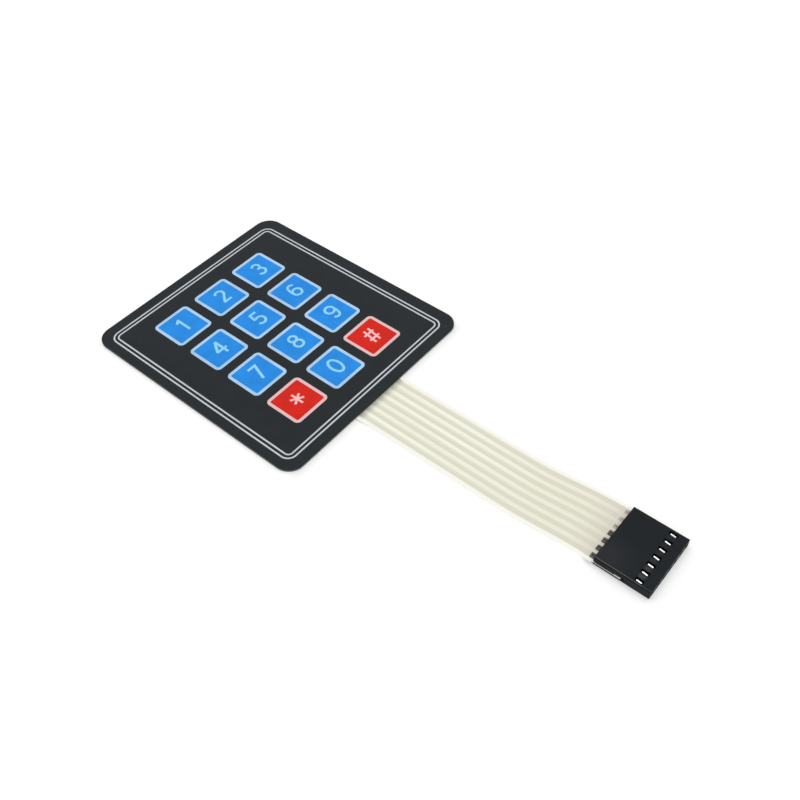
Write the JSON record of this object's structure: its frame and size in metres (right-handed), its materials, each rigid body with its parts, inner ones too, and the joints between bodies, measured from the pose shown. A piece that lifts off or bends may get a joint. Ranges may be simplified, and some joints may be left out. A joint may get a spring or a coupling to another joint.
{
  "type": "membrane keypad",
  "caption": "Thin rectangular membrane keypad with framed blue and red keys, a flat film tail with printed conductors and a socket connector, for entering numbers.",
  "frame": {"origin": "centre of the panel's rear face, which lies on z = 0", "axes": "+X to the right across the key columns, +Y up the keypad to the top row, away from the tail, +Z out of the printed side"},
  "size_m": [0.069, 0.162, 0.0026],
  "materials": {
    "liner": "matt paper",
    "adhesive": "clear soft adhesive",
    "film": "translucent satin film",
    "silver_ink": "matt silver ink",
    "spacer": "matt film",
    "overlay": "fine textured film",
    "blue_ink": "satin ink",
    "red_ink": "satin ink",
    "white_ink": "satin ink",
    "housing": "moulded, fine grain",
    "terminal": "tin plated sheet"
  },
  "bodies": {
    "root": {"release_liner": "liner", "rear_adhesive": "adhesive", "lower_circuit_film": "film", "row_traces": "silver_ink", "circuit_spacer": "spacer", "layer_bridges": "silver_ink", "column_traces": "silver_ink", "upper_circuit_film": "film", "overlay_adhesive": "adhesive", "graphic_overlay": "overlay", "blue_key_print": "blue_ink", "red_key_print": "red_ink", "key_frame_print": "white_ink", "border_print": "white_ink", "connector_housing": "housing", "terminal_1": "terminal", "terminal_2": "terminal", "terminal_3": "terminal", "terminal_4": "terminal", "terminal_5": "terminal", "terminal_6": "terminal", "terminal_7": "terminal"}
  },
  "joints": []
}
